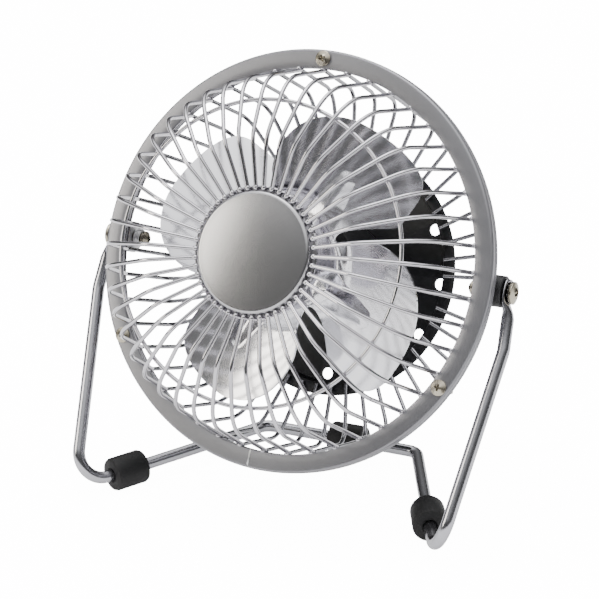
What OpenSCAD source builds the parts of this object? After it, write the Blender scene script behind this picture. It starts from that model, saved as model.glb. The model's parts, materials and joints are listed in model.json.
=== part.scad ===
// Four inch metal desk fan: a tilting wire-caged head on a bent rod stand.
// World frame: +Z up, front towards -Y, the feet rest on Z = 0.
// Head frame, used inside on_head(): +Z back along the fan's axis, +Y down, +X to the right,
// with Z = 0 on the front face of the ring.

/* [Ring] */
// Outer radius of the ring
ring_r = 70; // [69:0.25:70.5]
// Radial width of the ring's flat face
face_w = 6.25; // [5.5:0.25:6.5]
// Depth of the ring's skirt
ring_depth = 4.5; // [4:0.1:4.6]
// Thickness of the ring's sheet
sheet_t = 0.8; // [0.6:0.1:1]
// Radius of the circle of face screws
screw_circle_r = 66.9; // [66.5:0.1:67.1]

/* [Guards] */
// Number of wires in each guard
wires = 46; // [40:2:46]
// Diameter of the guard wire
wire_d = 1.4; // [1.2:0.1:1.5]
// Diameter of the two rim hoops
rim_hoop_d = 1.8; // [1.6:0.1:1.8]
// Radius of the crown of the front guard
crown_r = 37; // [34:0.5:40]
// Height of the crown of the front guard, in front of the face
crown_h = 33; // [31:0.5:34]
// Radius of the shoulder of the front guard
shoulder_r = 57.2; // [56:0.2:57.6]
// Height of the shoulder of the front guard
shoulder_h = 24.6; // [23:0.2:26]
// Radius of the hoop that ties the front wires
mid_hoop_r = 49.4; // [47:0.2:52]
// Depth of the corner of the rear guard, behind the face
rear_corner_depth = 29; // [27:0.5:30]
// Radius of the corner of the rear guard
rear_corner_r = 60.2; // [59:0.2:60.6]

/* [Cap] */
// Radius of the centre cap
cap_r = 19.8; // [19:0.1:19.9]
// Height of the cap's rim, in front of the ring's face
cap_h = 30.7; // [30.4:0.1:31]

/* [Rear plate] */
// Radius of the rear plate's lip
plate_r = 43.4; // [43:0.1:44]
// Depth of the lip's front face
plate_depth = 36; // [36:0.1:36.4]
// Depth of the dish behind the lip
dish_depth = 6.5; // [6:0.1:7]
// Diameter of the twelve vent holes
vent_d = 4; // [3:0.5:4]

/* [Blades] */
// Radius of the blade tips
blade_r = 51; // [48:0.5:52]
// Reach of a blade from its centre line to its leading edge
blade_lead_w = 23.7; // [22:0.1:24]
// Reach of a blade from its centre line to its trailing edge
blade_trail_w = 21.3; // [20:0.1:22]
// Pitch of the blades
blade_pitch = 19; // [14:1:21]

/* [Stand] */
// Diameter of the stand's rod
rod_d = 4.2; // [4:0.1:4.4]
// Half width between the front corners of the loop
front_half_w = 66.5; // [66:0.5:68]
// Half width between the rear corners of the loop
rear_half_w = 29.2; // [27:0.2:32]
// Length of the loop, front to back
loop_len = 70.5; // [69:0.5:74]
// Height of the pivots above the loop's rod
pivot_rise = 74.8; // [74.6:0.1:76]
// Distance from the front corners back to the pivots
pivot_back = 46; // [45:0.5:47]
// Tilt of the head, face upwards
head_tilt = 24; // [0:1:60]

/* [Feet] */
// Outside diameter of the rubber sleeves
foot_d = 11.6; // [11:0.1:11.6]
// Length of the rubber sleeves
foot_len = 12.6; // [10:0.2:14]

/* [Motor] */
// Diameter of the motor's can
can_d = 24.4; // [24:0.1:24.6]
// Diameter of the motor's shaft
shaft_d = 2; // [1.8:0.1:2.2]

/* [Hidden] */
$fn = 64;

// Overlap that welds two pieces of one solid together
weld = 0.1;
// A straight bar runs this far into each bend, which is thicker by bend_skin
lap = 0.3;
bend_skin = 0.03;

// Stand
rod_r = rod_d / 2;
foot_flat = 0.4;
rod_z = foot_d / 2 - foot_flat;
centre_y = 43.26;
front_y = -centre_y;
pivot_y = front_y + pivot_back;
pivot_z = rod_z + pivot_rise;
bend_half_w = 74.7;
bend_back = 36.5;
bend_rise = 58.5;
front_bend_r = 8.5;
rear_bend_r = 5;
upper_bend_r = 12;
lug_x = 71.5;
lug_t = 1.6;
lug_r = 4;
lug_len = 9;
rod_end_x = 73.4;
foot_left_at = 21;
foot_right_at = 29;
rear_foot_x = 3;

// Pivot stack, from the outside in
pivot_depth = 10;
pivot_bolt_d = 3;
bush_r = 5.15;
bush_x = 65.5;
bracket_x = 64.4;
bracket_t = 0.9;
bracket_half_h = 5.25;
spring_x = 61.3;
spring_r = 3;
washer_t = 0.5;
outer_head_r = 3.7;
inner_head_r = 2.55;

// Ring and guards
inner_r = ring_r - face_w;
wire_r = wire_d / 2;
wire_step = 360 / wires;
rim_hoop_r = inner_r + 0.85;
front_rim_z = 1.7;
rear_rim_z = 3.5;
mid_hoop_h = 26.3;
wire_start_r = 20.4;
wire_start_h = 29.2;
wire_foot_r = 63.2;
front_wire_foot = 2.3;
rear_wire_foot = 2.9;
crown_bend_r = 7;
shoulder_bend_r = 14;
rear_bend_wire_r = 9;
rear_wire_end_r = 40;

// Rear plate, motor and cover
plate_t = 1;
dish_r = plate_r - 4.4;
flat_z = plate_depth + dish_depth;
vent_circle_r = 36;
housing_front = 13;
housing_r = 16;
housing_t = 1.6;
can_front = 14.8;
can_len = 16;
can_t = 1;
nose_r = 4;
boss_circle_r = 19.5;
boss_r = 2.8;
cover_r = 26;
cover_back = flat_z + plate_t + 11;
cover_t = 1.6;
cover_rim_t = 3.6;
cover_boss_r = 3.4;
cover_hole_r = 1.35;
head_well_r = 2.6;
head_well = 2;
switch_y = -9;
switch_flange = [15.2, 11.2, 1.2];
switch_well = [13, 9, 7];
switch_mouth = [10.4, 7.2, 10];
switch_pin_r = 0.6;
switch_pin_z = cover_back + 0.2;
rocker_w = 9.6;
grommet_y = 12;
grommet_r = 3;
grommet_flange_r = 4.4;
grommet_bore_r = 1.8;
blade_t = 0.8;
hub_r = 15;

// ---------------------------------------------------------------- helpers

// Puts head pieces on the tilted head
module on_head() {
    translate([0, pivot_y, pivot_z])
        rotate([-head_tilt, 0, 0])
            translate([0, -pivot_depth, 0])
                rotate([-90, 0, 0])
                    children();
}

// Copies a piece to the left and right sides
module both_sides() {
    children();
    mirror([1, 0, 0])
        children();
}

function unit(v) = v / norm(v);
function turn_angle(a, b) = acos(unit(a) * unit(b));
function tangent_len(a, b, r) = r * tan(turn_angle(a, b) / 2);

// Angles that carry the X, Y and Z axes onto u, cross(n, u) and n
function euler(u, v, n) = [atan2(v[2], n[2]), -asin(u[2]), atan2(u[1], u[0])];

// Round bar from a to b
module bar(a, b, r) {
    d = b - a;
    translate(a)
        rotate([0, acos(d[2] / norm(d)), atan2(d[1], d[0])])
            cylinder(h = norm(d), r = r);
}

// Bend of radius bend_r round corner p, from direction u into direction w
module elbow(p, u, w, bend_r, r) {
    n = unit(cross(u, w));
    inward = cross(n, unit(u));
    start = p - unit(u) * tangent_len(u, w, bend_r);
    translate(start + inward * bend_r)
        rotate(euler(-inward, cross(n, -inward), n))
            rotate_extrude(angle = turn_angle(u, w))
                translate([bend_r, 0])
                    circle(r = r + bend_skin);
}

// Bar bent round each inner point of a path, with one bend radius per inner point
module bent_bar(path, bends, r) {
    last = len(path) - 1;
    for (i = [0 : last - 1]) {
        d = path[i + 1] - path[i];
        cut_from = i == 0 ? 0 : tangent_len(path[i] - path[i - 1], d, bends[i - 1]) - lap;
        cut_to = i == last - 1 ? 0 : tangent_len(d, path[i + 2] - path[i + 1], bends[i]) - lap;
        bar(path[i] + unit(d) * cut_from, path[i + 1] - unit(d) * cut_to, r);
        if (i < last - 1)
            elbow(path[i + 1], d, path[i + 2] - path[i + 1], bends[i], r);
    }
}

// Hoop of round wire about the fan's axis
module hoop(r, z, wire) {
    translate([0, 0, z])
        rotate_extrude($fn = 128)
            translate([r, 0])
                circle(d = wire);
}

// Flat ring or washer
module washer(r_out, r_in, t) {
    difference() {
        cylinder(h = t, r = r_out);
        translate([0, 0, -1])
            cylinder(h = t + 2, r = r_in);
    }
}

// Screw with a domed head above Z = 0 and its shank below, with a cross recess
module screw(head_r, head_h, shank_r, shank_len) {
    recess = head_r * 0.62;
    slot = head_r * 0.2;
    difference() {
        union() {
            cylinder(h = head_h * 0.55, r = head_r);
            translate([0, 0, head_h * 0.55])
                cylinder(h = head_h * 0.45, r1 = head_r, r2 = head_r * 0.62);
        }
        for (a = [0, 90])
            rotate([0, 0, a])
                translate([-recess, -slot, head_h * 0.4])
                    cube([2 * recess, 2 * slot, head_h]);
    }
    translate([0, 0, -shank_len])
        cylinder(h = shank_len + weld, r = shank_r);
}

// Turns a piece built along +Z to lie along +X, at the right-hand pivot
module at_pivot(x) {
    translate([x, pivot_y, pivot_z])
        rotate([0, 90, 0])
            children();
}

// ---------------------------------------------------------------- stand

// Rod loop, from the foot of one lug round the back to the foot of the other
module rod_loop() {
    lug_dir = unit([0, pivot_back - bend_back, pivot_rise - bend_rise]);
    right = [[rod_end_x, pivot_back, pivot_rise] - lug_dir * (lug_len - 2),
             [bend_half_w, bend_back, bend_rise], [front_half_w, 0, 0],
             [rear_half_w, loop_len, 0]];
    left = [for (i = [3 : -1 : 0]) [-right[i][0], right[i][1], right[i][2]]];
    bends = [upper_bend_r, front_bend_r, rear_bend_r];
    translate([0, front_y, rod_z])
        bent_bar(concat(right, left), concat(bends, [bends[2], bends[1], bends[0]]), rod_r);
}

// Flattened rod end with the pivot hole
module lug() {
    lean = atan2(pivot_back - bend_back, pivot_rise - bend_rise);
    at_pivot(lug_x)
        rotate([0, 0, -lean])
            difference() {
                union() {
                    cylinder(h = lug_t, r = lug_r);
                    linear_extrude(height = lug_t)
                        polygon([[0, -lug_r], [lug_len - 3, -rod_r], [lug_len, -rod_r],
                                 [lug_len, rod_r], [lug_len - 3, rod_r], [0, lug_r]]);
                }
                translate([0, 0, -1])
                    cylinder(h = lug_t + 2, d = pivot_bolt_d + 0.1);
            }
}

module stand_frame() {
    color("silver") {
        rod_loop();
        both_sides()
            lug();
    }
}

// Rubber sleeve on a rod along +X, with a small flat underneath
module sleeve(bore_r) {
    difference() {
        rotate([0, 90, 0])
            translate([0, 0, -foot_len / 2])
                difference() {
                    cylinder(h = foot_len, d = foot_d);
                    translate([0, 0, -1])
                        cylinder(h = foot_len + 2, r = bore_r);
                }
        translate([-foot_len, -foot_d, -foot_d - rod_z])
            cube([2 * foot_len, 2 * foot_d, foot_d]);
    }
}

// Sleeve on a side bar of the loop, at a distance from the front corner
module side_foot(side, at) {
    along = unit([rear_half_w - front_half_w, loop_len, 0]);
    p = [front_half_w, front_y, rod_z] + along * at;
    translate([side * p[0], p[1], p[2]])
        rotate([0, 0, atan2(along[1], side * along[0])])
            sleeve(rod_r + 0.02);
}

module front_foot_left() {
    color([0.08, 0.08, 0.08])
        side_foot(-1, foot_left_at);
}

module front_foot_right() {
    color([0.08, 0.08, 0.08])
        side_foot(1, foot_right_at);
}

module rear_foot() {
    color([0.08, 0.08, 0.08])
        translate([rear_foot_x, front_y + loop_len, rod_z])
            sleeve(rod_r + 0.02);
}

// Threaded spacer between the bracket and the lug
module pivot_bushes() {
    color([0.1, 0.1, 0.1])
        both_sides()
            at_pivot(bush_x)
                washer(bush_r, pivot_bolt_d / 2 + 0.02, lug_x - bush_x - 0.02);
}

module outer_pivot_screws() {
    color("gainsboro")
        both_sides()
            at_pivot(lug_x + lug_t + washer_t)
                screw(outer_head_r, 2.2, pivot_bolt_d / 2, 5);
}

// Toothed lock washer under each outer screw
module star_washers() {
    teeth = 12;
    color([0.25, 0.25, 0.25])
        both_sides()
            at_pivot(lug_x + lug_t + 0.02)
                difference() {
                    union() {
                        cylinder(h = washer_t - 0.04, r = 3.1);
                        for (i = [1 : teeth])
                            rotate([0, 0, i * 360 / teeth])
                                translate([2.9, -0.35, 0])
                                    cube([0.9, 0.7, washer_t - 0.04]);
                    }
                    translate([0, 0, -1])
                        cylinder(h = 3, d = pivot_bolt_d + 0.1);
                }
}

module inner_pivot_screws() {
    color("gainsboro")
        both_sides()
            at_pivot(spring_x)
                rotate([180, 0, 0])
                    screw(inner_head_r, 2.4, pivot_bolt_d / 2, 7);
}

// Close-wound friction spring round each inner screw
module friction_springs() {
    turns = 4;
    pitch = (bracket_x - spring_x - 0.3) / turns;
    coil_r = pitch / 2 + 0.05;
    color([0.35, 0.35, 0.35])
        both_sides()
            at_pivot(spring_x + 0.1)
                rotate_extrude()
                    for (i = [0 : turns - 1])
                        translate([spring_r - coil_r, coil_r + i * pitch])
                            circle(r = coil_r);
}

// ---------------------------------------------------------------- ring and guards

module front_ring() {
    round_r = 0.9;
    bead_z = 3;
    color([0.72, 0.72, 0.74])
        on_head()
            difference() {
                rotate_extrude($fn = 180)
                    difference() {
                        union() {
                            translate([inner_r, 0])
                                square([face_w - round_r, sheet_t]);
                            translate([ring_r - sheet_t, round_r])
                                square([sheet_t, ring_depth - round_r]);
                            intersection() {
                                translate([ring_r - round_r, round_r])
                                    circle(r = round_r);
                                translate([ring_r - round_r, 0])
                                    square(round_r);
                            }
                        }
                        translate([ring_r + 0.25, bead_z])
                            circle(r = 0.5);
                    }
                for (a = [-90, 30, 150])
                    rotate([0, 0, a])
                        translate([screw_circle_r, 0, -1])
                            cylinder(h = 3, r = 1.3);
            }
}

// Three copies round the ring, one of them at the top
module at_ring_screws(z) {
    for (a = [-90, 30, 150])
        rotate([0, 0, a])
            translate([screw_circle_r, 0, z])
                children();
}

module ring_screws() {
    color("gainsboro")
        on_head()
            at_ring_screws(0)
                rotate([180, 0, 0])
                    screw(2.6, 1.5, 1.25, 7.2);
}

module ring_nuts() {
    color("gainsboro")
        on_head()
            at_ring_screws(rear_rim_z + rim_hoop_d / 2 + 0.8)
                difference() {
                    cylinder(h = 2, r = 2.6, $fn = 6);
                    translate([0, 0, -1])
                        cylinder(h = 4, r = 1.27);
                }
}

// Small plate under each nut that clamps the two rim hoops
module guard_clips() {
    clip_z = rear_rim_z + rim_hoop_d / 2;
    color("silver")
        on_head()
            at_ring_screws(clip_z)
                difference() {
                    translate([-3, -3.5, 0])
                        cube([5, 7, 0.78]);
                    translate([0, 0, -1])
                        cylinder(h = 3, r = 1.3);
                }
}

// Angle of wire number i, with one wire straight up
function wire_angle(i) = -90 + i * wire_step;

module front_guard_wires() {
    path = [[wire_start_r, 0, -wire_start_h], [crown_r, 0, -crown_h],
            [shoulder_r, 0, -shoulder_h], [wire_foot_r, 0, front_wire_foot]];
    color([0.78, 0.78, 0.8])
        on_head()
            for (i = [0 : wires - 1])
                rotate([0, 0, wire_angle(i)])
                    bent_bar(path, [crown_bend_r, shoulder_bend_r], wire_r, $fn = 24);
}

module front_guard_hoops() {
    color([0.78, 0.78, 0.8])
        on_head() {
            hoop(mid_hoop_r, -mid_hoop_h, wire_d);
            hoop(rim_hoop_r, front_rim_z, rim_hoop_d - 0.02);
        }
}

module rear_guard_wires() {
    path = [[wire_foot_r, 0, rear_wire_foot], [rear_corner_r, 0, rear_corner_depth],
            [rear_wire_end_r, 0, plate_depth - wire_r]];
    color([0.5, 0.5, 0.52])
        on_head()
            for (i = [0 : wires - 1])
                rotate([0, 0, wire_angle(i)])
                    bent_bar(path, [rear_bend_wire_r], wire_r, $fn = 24);
}

module rear_guard_hoop() {
    color([0.5, 0.5, 0.52])
        on_head()
            hoop(rim_hoop_r, rear_rim_z, rim_hoop_d - 0.02);
}

// Spun cap over the ends of the front wires
module front_cap() {
    crown = 0.9;
    edge_r = 1;
    wall = 0.8;
    dome_r = (cap_r * cap_r + crown * crown) / (2 * crown);
    skirt_back = wire_start_h - wire_r - 0.1;
    color([0.75, 0.74, 0.72])
        on_head()
            mirror([0, 0, 1])
                rotate_extrude($fn = 120)
                    difference() {
                        intersection() {
                            translate([0, skirt_back])
                                square([cap_r, 6]);
                            translate([0, cap_h + crown - dome_r])
                                circle(r = dome_r, $fn = 1000);
                            union() {
                                square([cap_r - edge_r, 50]);
                                square([cap_r, cap_h - edge_r]);
                                translate([cap_r - edge_r, cap_h - edge_r])
                                    circle(r = edge_r);
                            }
                        }
                        translate([-1, skirt_back - 1])
                            square([cap_r - wall + 1, cap_h - wall - skirt_back + 1]);
                    }
}

// Disc behind the cap, with the lip that the cap is pressed on
module cap_backplate() {
    back_h = wire_start_h - wire_r - 1.1;
    color([0.7, 0.7, 0.72])
        on_head()
            mirror([0, 0, 1])
                translate([0, 0, back_h]) {
                    cylinder(h = 1, r = 21.6);
                    translate([0, 0, 1 - weld])
                        cylinder(h = 0.9, r = cap_r - 0.85);
                }
}

// Ear on each side of the rear rim hoop, which turns on the inner pivot screw
module pivot_brackets() {
    start_z = rear_rim_z + 0.5;
    color([0.75, 0.75, 0.77])
        on_head()
            both_sides()
                difference() {
                    union() {
                        translate([bracket_x, -bracket_half_h, start_z])
                            cube([bracket_t, 2 * bracket_half_h, pivot_depth - start_z]);
                        translate([bracket_x, 0, pivot_depth])
                            rotate([0, 90, 0])
                                cylinder(h = bracket_t, r = bracket_half_h);
                    }
                    translate([bracket_x - 1, 0, pivot_depth])
                        rotate([0, 90, 0])
                            cylinder(h = 3, d = pivot_bolt_d + 0.1);
                }
}

// ---------------------------------------------------------------- rear plate and cover

// Places the three long screws that tie cover, plate and housing together
module at_cover_screws(z) {
    for (a = [30, 150, 270])
        rotate([0, 0, a])
            translate([boss_circle_r, 0, z])
                children();
}

module rear_plate() {
    color([0.07, 0.07, 0.08])
        on_head()
            difference() {
                rotate_extrude($fn = 120)
                    polygon([[dish_r, plate_depth], [plate_r, plate_depth],
                             [plate_r, plate_depth + plate_t],
                             [dish_r + plate_t, plate_depth + plate_t],
                             [dish_r + plate_t, flat_z + plate_t], [9, flat_z + plate_t],
                             [9, flat_z], [dish_r, flat_z]]);
                for (a = [0 : 30 : 330])
                    rotate([0, 0, a])
                        translate([vent_circle_r, 0, flat_z - 1])
                            cylinder(h = 3, d = vent_d);
                at_cover_screws(flat_z - 1)
                    cylinder(h = 3, r = 1.4);
            }
}

// Black cup that carries the motor
module motor_housing() {
    back = flat_z - 0.05;
    color([0.09, 0.09, 0.1])
        on_head()
            difference() {
                union() {
                    translate([0, 0, housing_front])
                        cylinder(h = back - housing_front, r = housing_r);
                    at_cover_screws(back - 12)
                        cylinder(h = 12, r = boss_r);
                    for (a = [30, 150, 270])
                        rotate([0, 0, a])
                            translate([housing_r - 1, -1.5, back - 12])
                                cube([3.5, 3, 12]);
                }
                translate([0, 0, housing_front + housing_t])
                    cylinder(h = 40, r = housing_r - housing_t);
                translate([0, 0, housing_front - 1])
                    cylinder(h = 4, r = nose_r + 0.1);
                for (x = [-8.5, 8.5])
                    translate([x, 0, housing_front - 1])
                        cylinder(h = 4, r = 1.05);
                at_cover_screws(back - 8)
                    cylinder(h = 10, r = 1.22);
            }
}

// Domed cover over the leads and the switch
module rear_cover() {
    front = flat_z + plate_t + 0.05;
    chamfer = 3;
    color([0.09, 0.09, 0.1])
        on_head()
            difference() {
                union() {
                    difference() {
                        union() {
                            translate([0, 0, front])
                                cylinder(h = cover_back - chamfer - front, r = cover_r);
                            translate([0, 0, cover_back - chamfer])
                                cylinder(h = chamfer, r1 = cover_r, r2 = cover_r - chamfer);
                        }
                        translate([0, 0, front - 1])
                            cylinder(h = cover_back - cover_t - front + 1,
                                     r = cover_r - cover_rim_t);
                    }
                    at_cover_screws(front + 0.2)
                        cylinder(h = cover_back - 0.7 - front, r = cover_boss_r);
                }
                at_cover_screws(front - 1)
                    cylinder(h = 20, r = cover_hole_r);
                at_cover_screws(cover_back - head_well)
                    cylinder(h = 2 * head_well, r = head_well_r);
                translate([0, switch_y, cover_back])
                    cube([switch_well[0] + 0.2, switch_well[1] + 0.2, 8], center = true);
                translate([0, grommet_y, cover_back - 4])
                    cylinder(h = 8, r = grommet_r + 0.05);
            }
}

module cover_screws() {
    color("gainsboro")
        on_head()
            at_cover_screws(cover_back - head_well)
                screw(2.4, 1.6, 1.2, 15);
}

// Rocker switch frame snapped into the cover
module switch_body() {
    inside = 0.5;
    color([0.05, 0.05, 0.05])
        on_head()
            translate([0, switch_y, cover_back])
                difference() {
                    union() {
                        translate([-switch_flange[0] / 2, -switch_flange[1] / 2, 0.02])
                            cube(switch_flange);
                        translate([-switch_well[0] / 2, -switch_well[1] / 2,
                                   inside - switch_well[2]])
                            cube(switch_well);
                    }
                    translate([-switch_mouth[0] / 2, -switch_mouth[1] / 2, -4])
                        cube(switch_mouth);
                    translate([-6, 0, switch_pin_z - cover_back])
                        rotate([0, 90, 0])
                            cylinder(h = 12, r = switch_pin_r + 0.05);
                }
}

// Rocker that tips about its own cross pin
module switch_rocker() {
    pin_len = 11.6;
    color([0.12, 0.12, 0.12])
        on_head()
            translate([0, switch_y, switch_pin_z]) {
                rotate([90, 0, 90])
                    translate([0, 0, -rocker_w / 2])
                        linear_extrude(height = rocker_w)
                            polygon([[-3.1, 0], [-3.1, 1.6], [0, 0.7], [3.1, 2.6], [3.1, 0.4],
                                     [0, -2.4]]);
                translate([-pin_len / 2, 0, 0])
                    rotate([0, 90, 0])
                        cylinder(h = pin_len, r = switch_pin_r);
            }
}

// Strain relief bush with the hole for the lead
module cable_grommet() {
    color([0.06, 0.06, 0.06])
        on_head()
            translate([0, grommet_y, cover_back])
                difference() {
                    union() {
                        translate([0, 0, -cover_t - 1])
                            cylinder(h = 4, r = grommet_r);
                        translate([0, 0, 0.02])
                            cylinder(h = 1.2, r = grommet_flange_r);
                        translate([0, 0, 1])
                            cylinder(h = 3.6, r1 = grommet_r + 0.4, r2 = grommet_r - 0.2);
                    }
                    translate([0, 0, -5])
                        cylinder(h = 12, r = grommet_bore_r);
                }
}

// ---------------------------------------------------------------- motor

module motor_can() {
    color("gainsboro")
        on_head()
            difference() {
                union() {
                    translate([0, 0, can_front])
                        cylinder(h = can_len, d = can_d);
                    translate([0, 0, housing_front - 0.6])
                        cylinder(h = can_front - housing_front + 0.7, r = nose_r);
                }
                translate([0, 0, can_front + can_t])
                    cylinder(h = can_len, r = can_d / 2 - can_t);
                translate([0, 0, housing_front - 2])
                    cylinder(h = 8, r = 2.5);
                for (x = [-8.5, 8.5])
                    translate([x, 0, can_front - 1])
                        cylinder(h = 3, r = 1.02);
            }
}

module motor_magnets() {
    color([0.25, 0.22, 0.2])
        on_head()
            for (side = [0, 180])
                rotate([0, 0, side + 25])
                    translate([0, 0, can_front + can_t + 1])
                        rotate_extrude(angle = 130)
                            translate([9.1, 0])
                                square([can_d / 2 - can_t - 9.15, 10]);
}

module motor_end_bell() {
    back = can_front + can_len;
    color([0.85, 0.84, 0.8])
        on_head()
            difference() {
                union() {
                    translate([0, 0, back + 0.02])
                        cylinder(h = 1.6, d = can_d);
                    translate([0, 0, back - 1.5])
                        cylinder(h = 1.6, r = can_d / 2 - can_t - 0.05);
                    translate([0, 0, back])
                        cylinder(h = 3, r = nose_r);
                }
                translate([0, 0, back - 3])
                    cylinder(h = 8, r = 2.5);
                for (x = [-7, 7])
                    translate([x - 0.5, -1.6, back - 3])
                        cube([1, 3.2, 8]);
            }
}

// Sintered sleeve bearings at both ends of the motor
module motor_bushings() {
    color("goldenrod")
        on_head()
            for (z = [housing_front - 0.4, can_front + can_len - 0.8])
                translate([0, 0, z])
                    washer(2.48, shaft_d / 2 + 0.04, 3.2);
}

module brush_terminals() {
    back = can_front + can_len;
    color("goldenrod")
        on_head()
            for (side = [0, 180])
                rotate([0, 0, side])
                    union() {
                        translate([6.55, -1.5, back - 2.4])
                            cube([0.9, 3, 6.4]);
                        translate([2.95, -1.2, back - 2.4])
                            cube([3.7, 0.5, 0.8]);
                        translate([2.95, -1.2, back - 2.4])
                            cube([0.4, 2.4, 0.8]);
                    }
}

module motor_screws() {
    color("gainsboro")
        on_head()
            for (x = [-8.5, 8.5])
                translate([x, 0, housing_front])
                    rotate([180, 0, 0])
                        screw(1.9, 1.2, 1, 3.2);
}

// Leads from the motor through the plate to the switch
module motor_leads() {
    back = can_front + can_len + 4;
    color("firebrick")
        on_head()
            for (x = [-7, 7])
                bent_bar([[x, 0, back + 0.05], [x, 0, back + 4], [x * 0.6, -6, back + 7],
                          [x * 0.6, switch_y, cover_back - 6.9]], [1.5, 1.5], 0.6, $fn = 16);
}

// ---------------------------------------------------------------- rotor

// Outline of one flat blade, with its length along +X and its leading edge on the -Y side:
// two round corners and a root that leaves an open slot before the next blade
module blade_outline() {
    lead_r = 19;
    lead_x = 30.5;
    trail_r = 9;
    trail_x = 41.2;
    lead_y = lead_r - blade_lead_w;
    trail_y = blade_trail_w - trail_r;
    intersection() {
        circle(r = blade_r, $fn = 120);
        union() {
            translate([lead_x, lead_y])
                circle(r = lead_r, $fn = 80);
            translate([trail_x, trail_y])
                circle(r = trail_r, $fn = 60);
            polygon([[9, -12.9], [15.5, -17.6], [21, -22], [24.5, -22], [lead_x, lead_y],
                     [49.4, lead_y], [50.1, trail_y], [trail_x, trail_y],
                     [trail_x, blade_trail_w], [28.9, blade_trail_w], [16.5, 7.2], [9, 7.2]]);
        }
    }
}

// Four pitched blades on a flat hub, stamped from one sheet
module fan_blades() {
    blades = 4;
    color([0.88, 0.88, 0.9])
        on_head()
            difference() {
                union() {
                    translate([0, 0, -blade_t / 2])
                        cylinder(h = blade_t, r = hub_r);
                    for (i = [0 : blades - 1])
                        rotate([0, 0, 28 + i * 360 / blades])
                            rotate([blade_pitch, 0, 0])
                                translate([0, 0, -blade_t / 2])
                                    linear_extrude(height = blade_t)
                                        blade_outline();
                }
                translate([0, 0, -10])
                    cylinder(h = 20, r = 3.05);
            }
}

// Moulded hub pressed on the shaft
module fan_hub() {
    color([0.15, 0.15, 0.15])
        on_head()
            difference() {
                union() {
                    translate([0, 0, blade_t / 2 + 0.05])
                        cylinder(h = 1.8, r = 7);
                    translate([0, 0, -3])
                        cylinder(h = 8, r = 3);
                    translate([0, 0, 2])
                        cylinder(h = 8, r = 4.4);
                }
                translate([0, 0, -1.5])
                    cylinder(h = 20, r = shaft_d / 2 + 0.005);
            }
}

module hub_push_nut() {
    color("gainsboro")
        on_head()
            translate([0, 0, -blade_t / 2 - 0.85])
                washer(5.5, 3.02, 0.8);
}

module rotor_shaft() {
    color("gainsboro")
        on_head()
            translate([0, 0, -1.4])
                cylinder(h = can_front + can_len + 4, d = shaft_d);
}

// Three-pole laminated core
module armature_core() {
    color([0.45, 0.45, 0.48])
        on_head()
            translate([0, 0, can_front + can_t + 2.5])
                difference() {
                    union() {
                        cylinder(h = 7, r = 3);
                        for (a = [0, 120, 240])
                            rotate([0, 0, a]) {
                                translate([2, -1.4, 0])
                                    cube([5.5, 2.8, 7]);
                                intersection() {
                                    washer(8.6, 6.9, 7);
                                    translate([0, -5, -1])
                                        cube([10, 10, 9]);
                                }
                            }
                    }
                    translate([0, 0, -1])
                        cylinder(h = 9, r = shaft_d / 2 + 0.005);
                }
}

// One copper coil round each pole
module armature_windings() {
    color("peru")
        on_head()
            translate([0, 0, can_front + can_t + 1.8])
                for (a = [0, 120, 240])
                    rotate([0, 0, a])
                        difference() {
                            translate([3.9, -2.2, 0])
                                cube([2.5, 4.4, 8.4]);
                            translate([3, -1.45, 0.65])
                                cube([5, 2.9, 7.1]);
                        }
}

module commutator() {
    back = can_front + can_len;
    color("goldenrod")
        on_head()
            translate([0, 0, back - 4.8])
                washer(2.6, shaft_d / 2 + 0.005, 3);
}

stand_frame();
front_foot_left();
front_foot_right();
rear_foot();
pivot_bushes();
outer_pivot_screws();
star_washers();
inner_pivot_screws();
friction_springs();
front_ring();
ring_screws();
ring_nuts();
guard_clips();
front_guard_wires();
front_guard_hoops();
front_cap();
cap_backplate();
rear_guard_wires();
rear_guard_hoop();
pivot_brackets();
rear_plate();
motor_housing();
motor_can();
motor_magnets();
motor_end_bell();
motor_bushings();
brush_terminals();
motor_screws();
motor_leads();
rear_cover();
cover_screws();
switch_body();
cable_grommet();
fan_blades();
fan_hub();
hub_push_nut();
rotor_shaft();
armature_core();
armature_windings();
commutator();
switch_rocker();
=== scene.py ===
import json
import math

import bmesh
import bpy
from mathutils import Matrix, Vector


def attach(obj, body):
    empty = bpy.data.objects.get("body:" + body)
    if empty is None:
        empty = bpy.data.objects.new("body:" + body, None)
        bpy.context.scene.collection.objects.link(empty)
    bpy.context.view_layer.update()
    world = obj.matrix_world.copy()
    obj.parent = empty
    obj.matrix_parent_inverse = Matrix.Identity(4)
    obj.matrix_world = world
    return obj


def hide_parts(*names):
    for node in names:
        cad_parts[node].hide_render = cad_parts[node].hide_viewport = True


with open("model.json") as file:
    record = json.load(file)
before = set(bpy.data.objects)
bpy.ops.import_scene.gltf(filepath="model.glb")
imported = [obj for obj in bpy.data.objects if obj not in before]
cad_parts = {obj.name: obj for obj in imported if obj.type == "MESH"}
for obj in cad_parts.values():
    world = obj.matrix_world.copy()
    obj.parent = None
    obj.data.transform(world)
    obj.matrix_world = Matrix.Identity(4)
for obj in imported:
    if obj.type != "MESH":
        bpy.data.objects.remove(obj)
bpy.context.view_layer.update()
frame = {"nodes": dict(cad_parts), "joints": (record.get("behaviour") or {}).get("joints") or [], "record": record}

mm = 0.001
print("frame loaded")


# the head's own axes: +Z back along the fan's axis, +Y down, +X right, zero on the ring's face
joints = {joint["name"]: joint for joint in frame["joints"]}
faceCentre = Vector(joints["blade_spin"]["pos_m"])
backWay = Vector(joints["blade_spin"]["axis"]).normalized()
rightWay = Vector((1, 0, 0))
headAxes = Matrix((rightWay, backWay.cross(rightWay), backWay)).transposed().to_4x4()
headAxes.translation = faceCentre
pivotPoint = Vector(joints["head_tilt"]["pos_m"])
pivotDepth = (headAxes.inverted() @ pivotPoint).z


# modelling helpers

def deselectAll():
    for obj in list(bpy.context.selected_objects):
        obj.select_set(False)


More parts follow.
